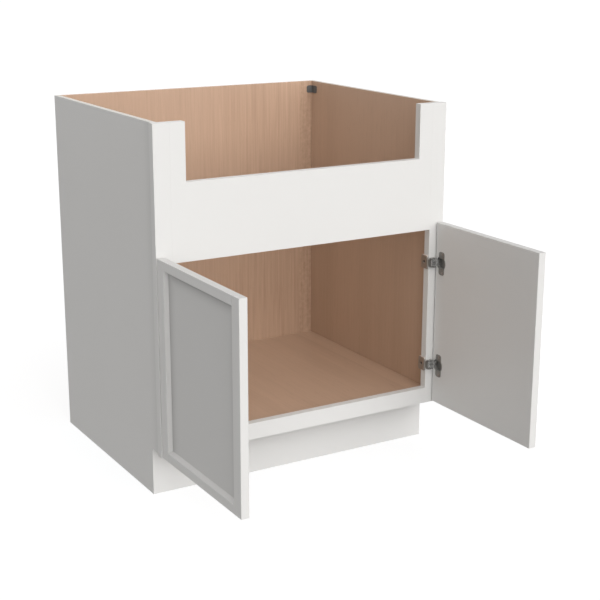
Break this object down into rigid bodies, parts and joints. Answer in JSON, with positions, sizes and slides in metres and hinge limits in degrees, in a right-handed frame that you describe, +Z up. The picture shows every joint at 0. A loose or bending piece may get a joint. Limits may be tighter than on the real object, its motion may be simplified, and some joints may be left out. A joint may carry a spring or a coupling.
{
  "type": "sink base cabinet",
  "caption": "Face-frame sink base cabinet with open top, U-notched apron board for a farmhouse sink and shaker doors on concealed hinges, standing open over a tan wood interior.",
  "frame": {"origin": "on the floor, under the centre of the bounding box of the cabinet with its doors open at a right angle", "axes": "+X to the cabinet's right as seen from the front, +Y from the doors to the back, +Z up"},
  "size_m": [0.775, 0.993, 0.8763],
  "materials": {
    "white_paint": "white satin paint on wood",
    "maple_laminate": "tan maple laminate, satin; the outer face of each side panel is painted white",
    "hinge_steel": "dark nickel plate",
    "plate_steel": "nickel plate",
    "bracket_metal": "dark grey paint",
    "screw_steel": "zinc plate"
  },
  "bodies": {
    "cabinet": {"right_side_panel": "maple_laminate", "left_side_panel": "maple_laminate", "floor_panel": "maple_laminate", "back_panel": "maple_laminate", "toe_kick_board": "white_paint", "right_corner_bracket": "bracket_metal", "left_corner_bracket": "bracket_metal", "right_frame_stile": "white_paint", "left_frame_stile": "white_paint", "bottom_rail": "white_paint", "apron_board": "white_paint", "right_upper_hinge_plate": "plate_steel", "right_upper_hinge_arm": "hinge_steel", "right_upper_cam_screw": "screw_steel", "right_upper_plate_screw": "screw_steel", "right_lower_hinge_plate": "plate_steel", "right_lower_hinge_arm": "hinge_steel", "right_lower_cam_screw": "screw_steel", "right_lower_plate_screw": "screw_steel", "left_upper_hinge_plate": "plate_steel", "left_upper_hinge_arm": "hinge_steel", "left_upper_cam_screw": "screw_steel", "left_upper_plate_screw": "screw_steel", "left_lower_hinge_plate": "plate_steel", "left_lower_hinge_arm": "hinge_steel", "left_lower_cam_screw": "screw_steel", "left_lower_plate_screw": "screw_steel"},
    "right_outer_links": {"right_upper_outer_link": "hinge_steel", "right_lower_outer_link": "hinge_steel"},
    "right_inner_links": {"right_upper_inner_link": "hinge_steel", "right_lower_inner_link": "hinge_steel"},
    "right_door": {"right_door_hinge_stile": "white_paint", "right_door_free_stile": "white_paint", "right_door_top_rail": "white_paint", "right_door_bottom_rail": "white_paint", "right_door_panel": "white_paint", "right_upper_hinge_cup": "hinge_steel", "right_upper_cup_top_screw": "screw_steel", "right_upper_cup_bottom_screw": "screw_steel", "right_lower_hinge_cup": "hinge_steel", "right_lower_cup_top_screw": "screw_steel", "right_lower_cup_bottom_screw": "screw_steel"},
    "left_outer_links": {"left_upper_outer_link": "hinge_steel", "left_lower_outer_link": "hinge_steel"},
    "left_inner_links": {"left_upper_inner_link": "hinge_steel", "left_lower_inner_link": "hinge_steel"},
    "left_door": {"left_door_hinge_stile": "white_paint", "left_door_free_stile": "white_paint", "left_door_top_rail": "white_paint", "left_door_bottom_rail": "white_paint", "left_door_panel": "white_paint", "left_upper_hinge_cup": "hinge_steel", "left_upper_cup_top_screw": "screw_steel", "left_upper_cup_bottom_screw": "screw_steel", "left_lower_hinge_cup": "hinge_steel", "left_lower_cup_top_screw": "screw_steel", "left_lower_cup_bottom_screw": "screw_steel"}
  },
  "joints": [
    {"name": "right_outer_link_swing", "type": "hinge", "parent": "cabinet", "child": "right_outer_links", "pos_m": [0.3628, -0.11575, 0.3505], "axis": [0, 0, 1], "range_deg": [-6.41, 57.68]},
    {"name": "right_inner_link_swing", "type": "hinge", "parent": "cabinet", "child": "right_inner_links", "pos_m": [0.3508, -0.12155, 0.3505], "axis": [0, 0, 1], "range_deg": [-3.81, 33.87]},
    {"name": "right_door_swing", "type": "hinge", "parent": "right_outer_links", "child": "right_door", "pos_m": [0.36834, -0.12439, 0.3505], "axis": [0, 0, 1], "range_deg": [-147.73, 16.46]},
    {"name": "left_outer_link_swing", "type": "hinge", "parent": "cabinet", "child": "left_outer_links", "pos_m": [-0.3628, -0.11575, 0.3505], "axis": [0, 0, -1], "range_deg": [-6.41, 57.68]},
    {"name": "left_inner_link_swing", "type": "hinge", "parent": "cabinet", "child": "left_inner_links", "pos_m": [-0.3508, -0.12155, 0.3505], "axis": [0, 0, -1], "range_deg": [-3.81, 33.87]},
    {"name": "left_door_swing", "type": "hinge", "parent": "left_outer_links", "child": "left_door", "pos_m": [-0.36834, -0.12439, 0.3505], "axis": [0, 0, -1], "range_deg": [-147.73, 16.46]}
  ],
  "couplings": [
    {"joint": "right_door_swing", "follows": "right_outer_link_swing", "ratio": -2.5604},
    {"joint": "right_inner_link_swing", "follows": "right_outer_link_swing", "ratio": 0.58632},
    {"joint": "left_door_swing", "follows": "left_outer_link_swing", "ratio": -2.5604},
    {"joint": "left_inner_link_swing", "follows": "left_outer_link_swing", "ratio": 0.58632}
  ]
}
